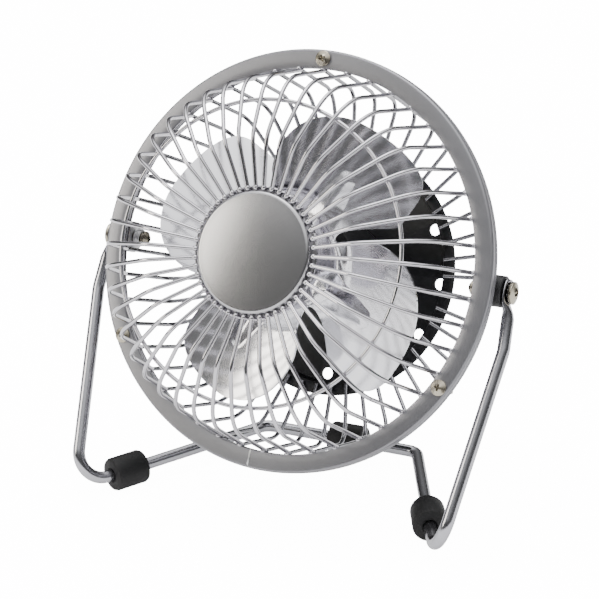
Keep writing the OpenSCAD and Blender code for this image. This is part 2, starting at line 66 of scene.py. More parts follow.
def pick(obj):
    deselectAll()
    obj.select_set(True)
    bpy.context.view_layer.objects.active = obj
    return obj


def applyPlace(obj):
    pick(obj)
    bpy.ops.object.transform_apply(location=True, rotation=True, scale=True)
    return obj


def edit(obj):
    pick(obj)
    bpy.ops.object.mode_set(mode="EDIT")


def leaveEdit():
    bpy.ops.object.mode_set(mode="OBJECT")


def selectVerts(obj, test):
    # picks vertices by place, in edit mode
    shape = bmesh.from_edit_mesh(obj.data)
    shape.select_mode = {"VERT"}
    for vert in shape.verts:
        vert.select_set(bool(test(vert.co)))
    shape.select_flush_mode()
    bmesh.update_edit_mesh(obj.data)


def moveVerts(obj, rule):
    for vert in obj.data.vertices:
        vert.co = rule(vert.co)
    obj.data.update()


def closeAndTurnOut(obj, mergeAt=1e-6):
    # merges doubles, caps open ends and turns every face outwards
    edit(obj)
    bpy.ops.mesh.select_all(action="SELECT")
    bpy.ops.mesh.remove_doubles(threshold=mergeAt)
    bpy.ops.mesh.fill_holes(sides=0)
    bpy.ops.mesh.select_all(action="SELECT")
    bpy.ops.mesh.normals_make_consistent(inside=False)
    leaveEdit()
    return obj


def smooth(obj, angle=35):
    pick(obj)
    bpy.ops.object.shade_smooth_by_angle(angle=math.radians(angle))
    return obj


def applyModifier(obj, kind, **settings):
    pick(obj)
    modifier = obj.modifiers.new(kind.title(), kind)
    for key, value in settings.items():
        setattr(modifier, key, value)
    bpy.ops.object.modifier_apply(modifier=modifier.name)
    return obj


def bevelEdges(obj, width, segments=2, angle=40):
    return applyModifier(obj, "BEVEL", width=width, segments=segments,
                         limit_method="ANGLE", angle_limit=math.radians(angle))


def join(objects):
    deselectAll()
    for obj in objects:
        obj.select_set(True)
    bpy.context.view_layer.objects.active = objects[0]
    if len(objects) > 1:
        bpy.ops.object.join()
    return bpy.context.view_layer.objects.active


def copyOf(obj, matrix=None):
    # a copy with its own mesh, moved by a matrix that ends up in the mesh
    pick(obj)
    bpy.ops.object.duplicate(linked=False)
    twin = bpy.context.active_object
    if matrix is not None:
        twin.matrix_world = matrix @ twin.matrix_world
        applyPlace(twin)
    return twin


def aroundAxis(obj, count, first=0.0):
    # copies round the local Z axis, joined into one piece, with the first turned by some degrees
    ring = [copyOf(obj, Matrix.Rotation(math.radians(first) + i * math.tau / count, 4, "Z"))
            for i in range(count)]
    bpy.data.objects.remove(obj)
    return join(ring)


def spinSelected(degrees, centre, axis, steps):
    # the spin operator turns the left-hand way, so the angle changes sign
    bpy.ops.mesh.spin(steps=steps, angle=-math.radians(degrees), center=centre, axis=axis)


def extrudeBy(step):
    bpy.ops.mesh.extrude_region_move(TRANSFORM_OT_translate={"value": tuple(step)})


def bentTube(path, bends, radius, sides=14, arcStep=7):
    # a circle carried along a path: straight runs are extruded and bends are spun
    points = [Vector(p) for p in path]
    first = (points[1] - points[0]).normalized()
    bpy.ops.mesh.primitive_circle_add(vertices=sides, radius=radius, location=points[0],
                                      rotation=first.to_track_quat("Z", "Y").to_euler())
    tube = applyPlace(bpy.context.active_object)
    edit(tube)
    bpy.ops.mesh.select_all(action="SELECT")
    place = points[0]
    for i in range(1, len(points)):
        inWay = (points[i] - points[i - 1]).normalized()
        if i == len(points) - 1:
            extrudeBy(points[i] - place)
            break
        outWay = (points[i + 1] - points[i]).normalized()
        turn = inWay.angle(outWay)
        trim = bends[i - 1] * math.tan(turn / 2)
        extrudeBy(points[i] - inWay * trim - place)
        axis = inWay.cross(outWay).normalized()
        centre = points[i] - inWay * trim + axis.cross(inWay) * bends[i - 1]
        steps = max(2, round(math.degrees(turn) / arcStep))
        spinSelected(math.degrees(turn), centre, axis, steps)
        place = points[i] + outWay * trim
    leaveEdit()
    return tube


def profileChain(points, closed=False):
    # a chain of vertices in the XZ plane, grown point by point from a merged plane
    spots = [Vector((r, 0, z)) for r, z in points]
    bpy.ops.mesh.primitive_plane_add(size=mm, location=spots[0])
    chain = applyPlace(bpy.context.active_object)
    edit(chain)
    bpy.ops.mesh.select_all(action="SELECT")
    bpy.ops.mesh.merge(type="CENTER")
    for a, b in zip(spots, spots[1:]):
        bpy.ops.mesh.extrude_vertices_move(TRANSFORM_OT_translate={"value": tuple(b - a)})
    if closed:
        selectVerts(chain, lambda co: min((co - spots[0]).length, (co - spots[-1]).length) < 1e-7)
        bpy.ops.mesh.edge_face_add()
    leaveEdit()
    return chain


def lathe(points, steps=96, closed=False, degrees=360.0):
    # turns a profile of (radius, depth) points about the local Z axis
    turned = profileChain(points, closed)
    edit(turned)
    bpy.ops.mesh.select_all(action="SELECT")
    spinSelected(degrees, (0, 0, 0), (0, 0, 1), steps)
    leaveEdit()
    return closeAndTurnOut(turned)


def arc(centre, radius, start, end, count):
    # points on an arc, in degrees
    return [(centre[0] + radius * math.cos(math.radians(start + (end - start) * i / count)),
             centre[1] + radius * math.sin(math.radians(start + (end - start) * i / count)))
            for i in range(count + 1)]


def flatPlate(outline, thickness):
    # a plate with its outline in the XY plane and its thickness along Z
    plate = profileChain(outline, closed=True)
    edit(plate)
    bpy.ops.mesh.select_all(action="SELECT")
    bpy.ops.mesh.edge_face_add()
    extrudeBy((0, thickness, 0))
    leaveEdit()
    plate.rotation_euler = (-math.pi / 2, 0, 0)
    applyPlace(plate)
    moveVerts(plate, lambda co: Vector((co.x, -co.y, co.z)))
    return closeAndTurnOut(plate)


def cutAway(obj, cutters):
    tool = join(cutters)
    applyModifier(obj, "BOOLEAN", operation="DIFFERENCE", object=tool, solver="EXACT",
                  use_self=True)
    bpy.data.objects.remove(tool)
    return obj


def rod(radius, depth, centre, sides=32):
    bpy.ops.mesh.primitive_cylinder_add(vertices=sides, radius=radius, depth=depth, location=centre)
    return applyPlace(bpy.context.active_object)


def block(low, high):
    size = Vector(high) - Vector(low)
    bpy.ops.mesh.primitive_cube_add(size=1, location=(Vector(low) + Vector(high)) / 2, scale=size)
    return applyPlace(bpy.context.active_object)


def onHead(obj):
    obj.matrix_world = headAxes @ obj.matrix_world
    return applyPlace(obj)


def mirrored(obj):
    twin = copyOf(obj, Matrix.Scale(-1, 4, (1, 0, 0)))
    return closeAndTurnOut(twin)


def finish(obj, name, body, slotName, *nodes, angle=35):
    # names the piece, shades it, gives it its finish and ties it to its body
    smooth(obj, angle)
    obj.name = name
    obj.data.name = name
    obj.data.materials.clear()
    obj.data.materials.append(finishes[slotName])
    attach(obj, body)
    if nodes:
        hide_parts(*nodes)
    return obj


# shader helpers

class Wire:
    # wraps an output socket, so that plain arithmetic adds Math nodes

    def __init__(self, tree, socket):
        self.tree = tree
        self.socket = socket

    def combine(self, operation, other):
        return self.tree.node("Math", {"operation": operation}, {0: self, 1: other})

    def __add__(self, other):
        return self.combine("ADD", other)

    def __mul__(self, other):
        return self.combine("MULTIPLY", other)

    __radd__ = __add__
    __rmul__ = __mul__


class Tree:
    # a node tree that makes its nodes through one method

    def __init__(self, tree):
        self.tree = tree

    def node(self, kind, settings=None, inputs=None, output=0):
        made = self.tree.nodes.new("ShaderNode" + kind)
        for key, value in (settings or {}).items():
            if key == "stops":
                ramp = made.color_ramp
                while len(ramp.elements) < len(value):
                    ramp.elements.new(0.5)
                for stop, (place, colour) in zip(ramp.elements, value):
                    stop.position = place
                    stop.color = (*colour, 1)
            else:
                setattr(made, key, value)
        for key, value in (inputs or {}).items():
            if isinstance(value, Wire):
                self.tree.links.new(value.socket, made.inputs[key])
            else:
                made.inputs[key].default_value = value
        return Wire(self, made.outputs[output])


class Finish(Tree):
    # one material with its Principled shader

    def __init__(self, name, **constants):
        self.material = bpy.data.materials.new(name)
        self.material.use_nodes = True
        super().__init__(self.material.node_tree)
        self.shader = self.tree.nodes["Principled BSDF"]
        for key, value in constants.items():
            self.shader.inputs[key.replace("_", " ")].default_value = value

    def feed(self, socketName, wire):
        self.tree.links.new(wire.socket, self.shader.inputs[socketName])

    def place(self, alongHead=True, stretch=(1, 1, 1)):
        # object coordinates, turned to the head's axes unless told otherwise
        coords = self.node("TexCoord", output=3)
        if alongHead:
            turned = headAxes.inverted()
            coords = self.node("Mapping", None, {"Vector": coords, "Location": turned.translation,
                                                 "Rotation": turned.to_euler()})
        if stretch != (1, 1, 1):
            coords = self.node("Mapping", None, {"Vector": coords, "Scale": stretch})
        return coords

    def noise(self, coords, scale, detail=3.0, roughness=0.55):
        return self.node("TexNoise", None, {"Vector": coords, "Scale": scale, "Detail": detail,
                                            "Roughness": roughness})

    def tint(self, factor, dark, light):
        return self.node("Mix", {"data_type": "RGBA"},
                         {0: factor, 6: (*dark, 1), 7: (*light, 1)}, output=2)

    def bump(self, height, distance, strength=1.0):
        return self.node("Bump", None, {"Height": height, "Distance": distance,
                                        "Strength": strength})


# finishes

def satinWireFinish(name, light, dark, roughness):
    # drawn wire: fine grain and small dull patches
    fin = Finish(name, Metallic=1.0, Roughness=roughness)
    coords = fin.place()
    patches = fin.noise(coords, 90, 3)
    grain = fin.noise(coords, 1600, 2)
    fin.feed("Base Color", fin.tint(patches, dark, light))
    fin.feed("Roughness", patches * 0.08 + grain * 0.06 + (roughness - 0.07))
    fin.feed("Normal", fin.bump(grain, 0.000008))
    return fin.material


def ringPaintFinish():
    # silver lacquer with fine flake over sheet steel
    fin = Finish("ringLacquer", Metallic=0.75, Coat_Roughness=0.25, Coat_Weight=0.25)
    coords = fin.place()
    flake = fin.noise(coords, 4200, 1, 0.4)
    cloud = fin.noise(coords, 28, 3)
    mix = flake * 0.5 + cloud * 0.5
    fin.feed("Base Color", fin.tint(mix, (0.20, 0.20, 0.215), (0.29, 0.29, 0.31)))
    fin.feed("Roughness", cloud * 0.10 + flake * 0.08 + 0.27)
    fin.feed("Normal", fin.bump(flake, 0.000012))
    return fin.material


def spunCapFinish():
    # satin aluminium with fine turning marks round the centre
    fin = Finish("spunAluminium", Metallic=1.0)
    coords = fin.place()
    across, down = (fin.node("SeparateXYZ", None, {"Vector": coords}, output=i) for i in (0, 1))
    radius = fin.node("Math", {"operation": "SQRT"}, {0: across * across + down * down})
    lanes = fin.node("CombineXYZ", None, {"X": radius * 1200, "Y": 0.0, "Z": 0.0})
    marks = fin.noise(lanes, 1.0, 4, 0.7)
    cloud = fin.noise(coords, 45, 3)
    fin.feed("Base Color", fin.tint(marks * 0.2 + cloud * 0.8, (0.38, 0.38, 0.395),
                                    (0.48, 0.48, 0.49)))
    fin.feed("Roughness", marks * 0.03 + cloud * 0.04 + 0.19)
    fin.feed("Normal", fin.bump(marks, 0.0000008))
    return fin.material


def bladeFinish():
    # bare rolled aluminium: long rolling lines, light scuffs
    fin = Finish("rolledAluminium", Metallic=1.0)
    coords = fin.place()
    lines = fin.noise(fin.place(stretch=(1, 14, 1)), 160, 4, 0.6)
    scuffs = fin.noise(coords, 70, 5, 0.6)
    fin.feed("Base Color", fin.tint(scuffs, (0.74, 0.74, 0.78), (0.88, 0.88, 0.91)))
    fin.feed("Roughness", lines * 0.08 + scuffs * 0.08 + 0.05)
    fin.feed("Normal", fin.bump(lines * 0.7 + scuffs * 0.3, 0.0000008))
    return fin.material


def rubberFinish():
    # soft black rubber with a little dust
    fin = Finish("blackRubber", Specular_IOR_Level=0.35)
    coords = fin.place(alongHead=False)
    grain = fin.noise(coords, 900, 3)
    dust = fin.noise(coords, 120, 4)
    fin.feed("Base Color", fin.tint(dust, (0.004, 0.004, 0.0045), (0.012, 0.012, 0.013)))
    fin.feed("Roughness", grain * 0.15 + dust * 0.12 + 0.46)
    fin.feed("Normal", fin.bump(grain, 0.00006))
    return fin.material


def blackPlasticFinish(name, roughness, texture):
    # moulded plastic or black lacquer, with a fine grain
    fin = Finish(name)
    coords = fin.place()
    grain = fin.noise(coords, 2200, 2)
    cloud = fin.noise(coords, 60, 3)
    fin.feed("Base Color", fin.tint(cloud, (0.004, 0.004, 0.005), (0.010, 0.010, 0.012)))
    fin.feed("Roughness", cloud * 0.10 + grain * 0.08 + roughness)
    fin.feed("Normal", fin.bump(grain, texture))
    return fin.material


def plateFinish(name, dark, light, roughness):
    # plated or bare small metal parts
    fin = Finish(name, Metallic=1.0)
    coords = fin.place()
    stains = fin.noise(coords, 380, 4)
    fin.feed("Base Color", fin.tint(stains, dark, light))
    fin.feed("Roughness", stains * 0.2 + roughness)
    fin.feed("Normal", fin.bump(fin.noise(coords, 2400, 2), 0.00002))
    return fin.material


def mouldedFinish(name, dark, light, roughness):
    # pressed or moulded small parts inside the motor
    fin = Finish(name)
    coords = fin.place()
    cloud = fin.noise(coords, 240, 3)
    fin.feed("Base Color", fin.tint(cloud, dark, light))
    fin.feed("Roughness", cloud * 0.15 + roughness)
    fin.feed("Normal", fin.bump(fin.noise(coords, 1800, 2), 0.00003))
    return fin.material


finishes = {
    "satin_rod": satinWireFinish("satinRod", (0.50, 0.50, 0.53), (0.38, 0.38, 0.41), 0.19),
    "satin_paint": ringPaintFinish(),
    "guard_wire": satinWireFinish("guardWire", (0.61, 0.60, 0.63), (0.47, 0.46, 0.49), 0.14),
    # painted shade: the rear wires are the same plated wire as the front guard, given a darker colour to stand for
    # the shade they sit in behind the blades
    "rear_wire": satinWireFinish("rearWirePaintedShade", (0.40, 0.40, 0.42), (0.28, 0.28, 0.30), 0.22),
    "spun_cap": spunCapFinish(),
    "blade_sheet": bladeFinish(),
    "rubber": rubberFinish(),
    "black_plastic": blackPlasticFinish("blackPlastic", 0.38, 0.00003),
    "black_metal": blackPlasticFinish("blackLacquer", 0.30, 0.00001),
    "screw_plate": plateFinish("nickelPlate", (0.28, 0.25, 0.19), (0.58, 0.54, 0.44), 0.15),
    "dark_steel": plateFinish("darkSteel", (0.08, 0.08, 0.08), (0.16, 0.16, 0.16), 0.32),
    "motor_steel": plateFinish("zincPlate", (0.52, 0.53, 0.54), (0.70, 0.70, 0.71), 0.26),
    "magnet": mouldedFinish("ferrite", (0.05, 0.045, 0.045), (0.10, 0.09, 0.085), 0.55),
    "pale_plastic": mouldedFinish("paleNylon", (0.68, 0.66, 0.58), (0.80, 0.78, 0.71), 0.42),
    "bronze": plateFinish("sinteredBronze", (0.42, 0.27, 0.10), (0.66, 0.48, 0.24), 0.34),
    "copper": plateFinish("enamelledCopper", (0.42, 0.16, 0.06), (0.66, 0.30, 0.14), 0.22),
    "lead_sheath": mouldedFinish("leadSheath", (0.38, 0.03, 0.03), (0.52, 0.06, 0.05), 0.40),
}
print("finishes ready")

for part in frame["record"]["subparts"]:
    node = frame["nodes"][part["node"]]
    node.data.materials.clear()
    node.data.materials.append(finishes[part["material_slot"]])


# stage, light and camera

stageSettings = {"floorSize": 6.0, "floorColour": (0.90, 0.90, 0.90), "floorGlow": 14.0,
                 "bounce": (0.035, 0.035, 0.036),
                 "skyBands": [(0.0, 0.08), (0.28, 0.12), (0.48, 0.28), (0.75, 1.9), (1.0, 2.3)],
                 "skyStrength": 4.0}


def makeStage():
    s = stageSettings
    bpy.ops.mesh.primitive_plane_add(size=s["floorSize"], location=(0, 0, 0))
    floor = bpy.context.active_object
    floor.name = "paleFloor"
    fin = Finish("paleFloor", Roughness=0.9, Specular_IOR_Level=0.1,
                 Emission_Strength=s["floorGlow"])
    soft = fin.noise(fin.place(alongHead=False), 3, 2)
    low = tuple(c * 0.985 for c in s["floorColour"])
    fin.feed("Base Color", fin.tint(soft, low, s["floorColour"]))
    seen = fin.node("LightPath", output=0)
    fin.feed("Emission Color", fin.tint(seen, stageSettings["bounce"], (1, 1, 1)))
    floor.data.materials.append(fin.material)


def makeSky():
    # a white tent: bright overhead, grey round the sides, plain white where the camera sees it
    world = bpy.data.worlds.new("studioTent")
    bpy.context.scene.world = world
    world.use_nodes = True
    sky = Tree(world.node_tree)
    direction = sky.node("TexCoord", output=0)
    height = sky.node("SeparateXYZ", None, {"Vector": direction}, output=2)
    strength = stageSettings["skyStrength"]
    stops = [(z, (v / strength,) * 3) for z, v in stageSettings["skyBands"]]
    bands = sky.node("ValToRGB", {"stops": stops}, {"Fac": height})
    seen = sky.node("LightPath", output=0)
    colour = sky.node("Mix", {"data_type": "RGBA"}, {0: seen, 6: bands, 7: (1, 1, 1, 1)}, output=2)
    background = world.node_tree.nodes["Background"]
    background.inputs["Strength"].default_value = strength
    sky.tree.links.new(colour.socket, background.inputs["Color"])


lightAim = Vector((0, 0, 0.08))
lightSettings = {
    "leftSoft": {"place": (-0.84, -0.74, 0.50), "size": 0.50, "power": 5.2,
                 "colour": (1.0, 0.95, 0.85)},
    "topSoft": {"place": (-0.1, 0.1, 1.4), "size": 0.9, "power": 8, "colour": (1, 1, 1)},
}


def makeLights():
    for name, spec in lightSettings.items():
        bpy.ops.object.light_add(type="AREA", location=spec["place"])
        lamp = bpy.context.active_object
        lamp.name = name
        lamp.data.size = spec["size"]
        lamp.data.energy = spec["power"]
        lamp.data.color = spec["colour"]
        aim = lightAim - Vector(spec["place"])
        lamp.rotation_euler = aim.to_track_quat("-Z", "Y").to_euler()


cameraSettings = {"place": (0.3398, -0.6765, 0.3675), "aim": (-0.0009, 0.0, 0.0678),
                  "roll": 1.66, "lens": 146.96, "sensor": 36}


def makeCamera():
    s = cameraSettings
    place = Vector(s["place"])
    look = (Vector(s["aim"]) - place).normalized()
    bpy.ops.object.camera_add(location=place)
    camera = bpy.context.active_object
    camera.data.lens = s["lens"]
    camera.data.sensor_width = s["sensor"]
    turn = look.to_track_quat("-Z", "Y").to_matrix().to_4x4()
    roll = Matrix.Rotation(math.radians(-s["roll"]), 4, "Z")
    camera.matrix_world = Matrix.Translation(place) @ turn @ roll
    bpy.context.scene.camera = camera


makeStage()
makeSky()
makeLights()
makeCamera()
print("stage, light and camera ready")


# guard ring

ringSettings = {"outer": 70.0, "inner": 63.75, "edge": 0.95, "seamAt": 94.0, "seamGap": 0.36,
                "weldLap": 0.07, "steps": 180}


def makeRing():
    s = ringSettings
    edge = [(s["outer"] - s["edge"] + r, s["edge"] + z)
            for r, z in arc((0, 0), s["edge"], -90, 0, 6)]
    outline = [(s["inner"], 0.65), (s["inner"], 0.2), (s["inner"] + 0.06, 0.06),
               (s["inner"] + 0.2, 0.0), (66.5, 0.0), *edge,
               (70.0, 1.9), (69.82, 2.15), (69.82, 2.45), (70.0, 2.7), (70.0, 3.1),
               (69.82, 3.3), (69.82, 3.5), (70.0, 3.75), (69.98, 4.3), (69.8, 4.5), (69.4, 4.5),
               (69.2, 4.35), (69.2, 1.5), (69.0, 1.0), (68.5, 0.8), (63.9, 0.8)]
    ring = lathe([(r * mm, z * mm) for r, z in outline], s["steps"], closed=True,
                 degrees=360 - s["seamGap"])
    ring.matrix_world = Matrix.Rotation(math.radians(s["seamAt"]), 4, "Z")
    applyPlace(ring)
    return finish(onHead(ring), "guardRing", "head", "satin_paint", "front_ring")


def makeSeamWeld():
    # thin raised bead of weld in the butt joint of the ring
    outline = [(63.9, 0.05), (64.6, -0.14), (68.6, -0.14), (69.9, 0.7), (69.9, 4.2),
               (69.3, 4.2), (69.3, 1.2), (68.6, 0.75), (63.9, 0.75)]
    s = ringSettings
    weld = lathe([(r * mm, z * mm) for r, z in outline], 3, closed=True,
                 degrees=s["seamGap"] + 2 * s["weldLap"])
    start = s["seamAt"] - s["seamGap"] - s["weldLap"]
    weld.matrix_world = Matrix.Rotation(math.radians(start), 4, "Z")
    applyPlace(weld)
    return finish(onHead(weld), "ringSeamWeld", "head", "motor_steel")


makeRing()
makeSeamWeld()
print("ring made")


# wire guards

guardSettings = {"count": 46, "wire": 0.7, "crown": (37.0, -33.0), "shoulder": (57.2, -24.6),
                 "start": (20.4, -29.2), "foot": (63.2, 2.3), "rearFoot": (63.2, 2.9),
                 "rearCorner": (60.2, 29.0), "rearEnd": (40.0, 35.3), "bends": (11.0, 14.0),
                 "rearBend": 9.0, "firstAt": -90,
                 "frontHoops": [(49.4, -26.3, 0.7), (64.6, 1.7, 0.88)], "rearHoop": (64.6, 3.5, 0.88),
                 "swelling": 0.12, "swellingSpan": 1.6}


def wireBead(centre, size, squash):
    # a blob of weld: a small sphere pulled out of round
    bpy.ops.mesh.primitive_uv_sphere_add(segments=10, ring_count=6, radius=size * mm,
                                         location=[c * mm for c in centre])
    bead = bpy.context.active_object
    bead.scale = squash
    return applyPlace(bead)


def makeFrontWires():
    s = guardSettings
    path = [(r * mm, 0, z * mm) for r, z in (s["start"], s["crown"], s["shoulder"], s["foot"])]
    wire = closeAndTurnOut(bentTube(path, [b * mm for b in s["bends"]], s["wire"] * mm, sides=12))
    beadIn = wireBead((20.9, 0, -29.3), 0.95, (1.2, 1.0, 0.95))
    beadOut = wireBead((63.5, 0, 0.4), 0.85, (0.8, 1.1, 0.8))
    wires = aroundAxis(join([wire, beadIn, beadOut]), s["count"], s["firstAt"])
    return finish(onHead(wires), "frontGuardWires", "head", "guard_wire",
                  "front_guard_wires", angle=50)


def makeRearWires():
    s = guardSettings
    path = [(r * mm, 0, z * mm) for r, z in (s["rearFoot"], s["rearCorner"], s["rearEnd"])]
    wire = closeAndTurnOut(bentTube(path, [s["rearBend"] * mm], s["wire"] * mm, sides=12))
    wires = aroundAxis(wire, s["count"], s["firstAt"])
    # the rear wires take the darker wire colour, which is painted shade
    return finish(onHead(wires), "rearGuardWires", "head", "rear_wire",
                  "rear_guard_wires", angle=50)


def hoopRing(radius, depth, wire, sides=14, steps=144):
    # a wire hoop with a slight swelling at the bottom, where its ends were welded
    s = guardSettings
    bpy.ops.mesh.primitive_circle_add(vertices=sides, radius=wire * mm,
                                      location=(radius * mm, 0, depth * mm),
                                      rotation=(math.pi / 2, 0, 0))
    hoop = applyPlace(bpy.context.active_object)
    edit(hoop)
    bpy.ops.mesh.select_all(action="SELECT")
    spinSelected(360, (0, 0, 0), (0, 0, 1), steps)
    leaveEdit()
    closeAndTurnOut(hoop)
    core = Vector((0, 0, depth * mm))

    def swell(co):
        flat = Vector((co.x, co.y, 0))
        middle = flat.normalized() * radius * mm + core
        away = abs(math.degrees(math.atan2(co.x, co.y)))
        return middle + (co - middle) * (1 + s["swelling"] * math.exp(-(away / s["swellingSpan"]) ** 2))

    moveVerts(hoop, swell)
    return hoop


def makeHoops():
    front = join([hoopRing(*hoop) for hoop in guardSettings["frontHoops"]])
    finish(onHead(front), "frontGuardHoops", "head", "guard_wire", "front_guard_hoops", angle=50)
    rear = hoopRing(*guardSettings["rearHoop"])
    # the rear hoop takes the darker wire colour, which is painted shade
    finish(onHead(rear), "rearGuardHoop", "head", "rear_wire", "rear_guard_hoop", angle=50)


makeFrontWires()
makeRearWires()
makeHoops()
print("guards made")


# centre cap

capSettings = {"radius": 19.8, "rim": 30.7, "rise": 0.8, "edge": 1.3, "wall": 0.7, "back": 28.5}


def makeCap():
    s = capSettings
    flatR = s["radius"] - s["edge"]
    domeR = (flatR ** 2 + s["rise"] ** 2) / (2 * s["rise"])
    tilt = math.degrees(math.asin(flatR / domeR))
    dome = [(r, -(s["rim"] + s["rise"] - domeR + z))
            for r, z in arc((0, 0), domeR, 90, 90 - tilt, 12)]
    rim = [(flatR + r, -(s["rim"] - s["edge"] + z)) for r, z in arc((0, 0), s["edge"], 84, 0, 7)]
    inner = [(s["radius"], -s["back"]), (s["radius"] - s["wall"], -s["back"]),
             (s["radius"] - s["wall"], -(s["rim"] - 1.0)), (0, -(s["rim"] - 0.2))]
    outline = [(0.0, -(s["rim"] + s["rise"]))] + dome[1:] + rim + inner
    cap = lathe([(max(r, 0) * mm, z * mm) for r, z in outline], 128)
    return finish(onHead(cap), "centreCap", "head", "spun_cap", "front_cap")


def makeBackplate():
    outline = [(0, -27.45), (21.2, -27.45), (21.6, -27.75), (21.6, -28.15), (21.2, -28.45),
               (18.95, -28.45), (18.95, -29.2), (18.6, -29.35), (0, -29.35)]
    plate = lathe([(r * mm, z * mm) for r, z in outline], 96)
    return finish(onHead(plate), "capBackplate", "head", "guard_wire", "cap_backplate")


makeCap()
makeBackplate()
print("cap made")


# blades

bladeSettings = {"tip": 51.0, "pitch": 19.0, "bore": 3.05, "rootR": 16.4, "rootAt": -10.0,
                 "sheet": 0.8, "flatR": 15.0, "twistOver": 9.0, "camber": 1.2, "firstAt": 28.0,
                 "ribFrom": 17.0, "ribTo": 32.0, "ribWide": 6.0, "ribNarrow": 3.1, "ribSlope": 0.33,
                 "rows": 84, "columns": 84, "hubRows": 10,
                 "lead": [(11.3, -14.1), (13.8, -15.7), (17.0, -18.4), (21.0, -21.6),
                          (25.5, -23.2), (30.5, -23.7), (35.8, -22.9), (40.6, -20.8),
                          (44.8, -17.2), (48.0, -12.4), (49.6, -8.4)],
                 "trail": [(14.0, 8.5), (15.8, 8.1), (17.6, 8.8), (19.8, 10.5), (22.4, 13.3),
                           (24.9, 16.4), (27.2, 19.4), (28.8, 20.8), (31.0, 21.3), (36.0, 21.4),
                           (41.0, 21.3), (45.2, 19.6), (48.3, 15.6), (49.9, 10.5)]}


def smoothStep(value):
    value = min(1.0, max(0.0, value))
    return value * value * (3 - 2 * value)


def bladeHeight(x, y):
    # pitch grows out of the flat hub, with a little camber and a pressed rib like a low gable
    s = bladeSettings
    grow = smoothStep((math.hypot(x, y) - s["flatR"]) / s["twistOver"])
    lift = y * math.tan(math.radians(s["pitch"])) + s["camber"] * (y / 22) ** 2
    along = min(1.0, max(0.0, (x - s["ribFrom"]) / (s["ribTo"] - s["ribFrom"])))
    nearest = s["ribFrom"] + along * (s["ribTo"] - s["ribFrom"])
    width = s["ribWide"] + (s["ribNarrow"] - s["ribWide"]) * along
    return grow * lift - s["ribSlope"] * max(0.0, width - math.hypot(x - nearest, y))


def alongCurve(points, at):
    # smooth curve through the points, from 0 at the first to 1 at the last
    spots = [Vector(p) for p in points]
    lengths = [0.0]
    for a, b in zip(spots, spots[1:]):
        lengths.append(lengths[-1] + (b - a).length)
    goal = min(max(at, 0.0), 1.0) * lengths[-1]
    i = max(k for k in range(len(spots) - 1) if lengths[k] <= goal + 1e-9)
    t = (goal - lengths[i]) / (lengths[i + 1] - lengths[i])
    a, b = spots[max(i - 1, 0)], spots[i]
    c, d = spots[i + 1], spots[min(i + 2, len(spots) - 1)]
    return 0.5 * (2 * b + (c - a) * t + (2 * a - 5 * b + 4 * c - d) * t ** 2
                  + (3 * b - a - 3 * c + d) * t ** 3)


def rimPoint(radius, degrees):
    return Vector((radius * math.cos(math.radians(degrees)),
                   radius * math.sin(math.radians(degrees))))


def makeBlades():
    s = bladeSettings
    low, high = s["rootAt"] - 45, s["rootAt"] + 45
    lead = [rimPoint(s["rootR"], low)] + s["lead"]
    trail = [rimPoint(s["rootR"], high)] + s["trail"]
    tipLow = math.degrees(math.atan2(lead[-1][1], lead[-1][0]))
    tipHigh = math.degrees(math.atan2(trail[-1][1], trail[-1][0]))
    bpy.ops.mesh.primitive_grid_add(x_subdivisions=s["rows"], y_subdivisions=s["columns"], size=2)
    blade = bpy.context.active_object

    def sheet(co):
        # a patch between the hub, the tip and the two edges
        u, v = (co.x + 1) / 2, (co.y + 1) / 2
        left, right = alongCurve(lead, u), alongCurve(trail, u)
        root = rimPoint(s["rootR"], low + 90 * v)
        tip = rimPoint(s["tip"], tipLow + (tipHigh - tipLow) * v)
        corners = ((1 - u) * (1 - v) * alongCurve(lead, 0) + (1 - u) * v * alongCurve(trail, 0)
                   + u * (1 - v) * rimPoint(s["tip"], tipLow) + u * v * rimPoint(s["tip"], tipHigh))
        spot = (1 - v) * left + v * right + (1 - u) * root + u * tip - corners
        if spot.length > s["tip"]:
            spot = spot.normalized() * s["tip"]
        return Vector((spot.x * mm, spot.y * mm, bladeHeight(spot.x, spot.y) * mm))

    moveVerts(blade, sheet)
    bpy.ops.mesh.primitive_grid_add(x_subdivisions=s["hubRows"], y_subdivisions=s["columns"], size=2)
    hub = bpy.context.active_object

    def sector(co):
        radius = s["bore"] + (s["rootR"] - s["bore"]) * (co.x + 1) / 2
        spot = rimPoint(radius, low + 90 * (co.y + 1) / 2)
        return Vector((spot.x * mm, spot.y * mm, bladeHeight(spot.x, spot.y) * mm))

    moveVerts(hub, sector)
    blades = aroundAxis(join([blade, hub]), 4, s["firstAt"])
    edit(blades)
    bpy.ops.mesh.select_all(action="SELECT")
    bpy.ops.mesh.remove_doubles(threshold=2e-5)
    bpy.ops.mesh.normals_make_consistent(inside=False)
    leaveEdit()
    applyModifier(blades, "SOLIDIFY", thickness=s["sheet"] * mm, offset=0)
    bevelEdges(blades, 0.12 * mm, 1, 60)
    return finish(onHead(blades), "fanBlades", "rotor", "blade_sheet", "fan_blades")


def makeHub():
    outline = [(1.01, -1.5), (1.01, -3.0), (2.6, -3.0), (3.0, -2.6), (3.0, 0.45), (6.6, 0.45),
               (7.0, 0.8), (7.0, 1.9), (6.6, 2.25), (4.6, 2.25), (4.4, 2.6), (4.4, 9.5),
               (3.9, 10.0), (1.01, 10.0)]
    hub = lathe([(r * mm, z * mm) for r, z in outline], 64, closed=True)
    finish(onHead(hub), "fanHub", "rotor", "black_plastic", "fan_hub")


makeBlades()
makeHub()
print("blades made")


# screws

ringScrewSettings = {"angles": (-90, 30, 150), "circle": 66.9, "head": (2.6, 1.5), "shank": (1.25, 7.2)}
coverScrewSettings = {"angles": (30, 150, 270), "circle": 19.5, "head": (2.4, 1.6), "shank": (1.2, 15)}


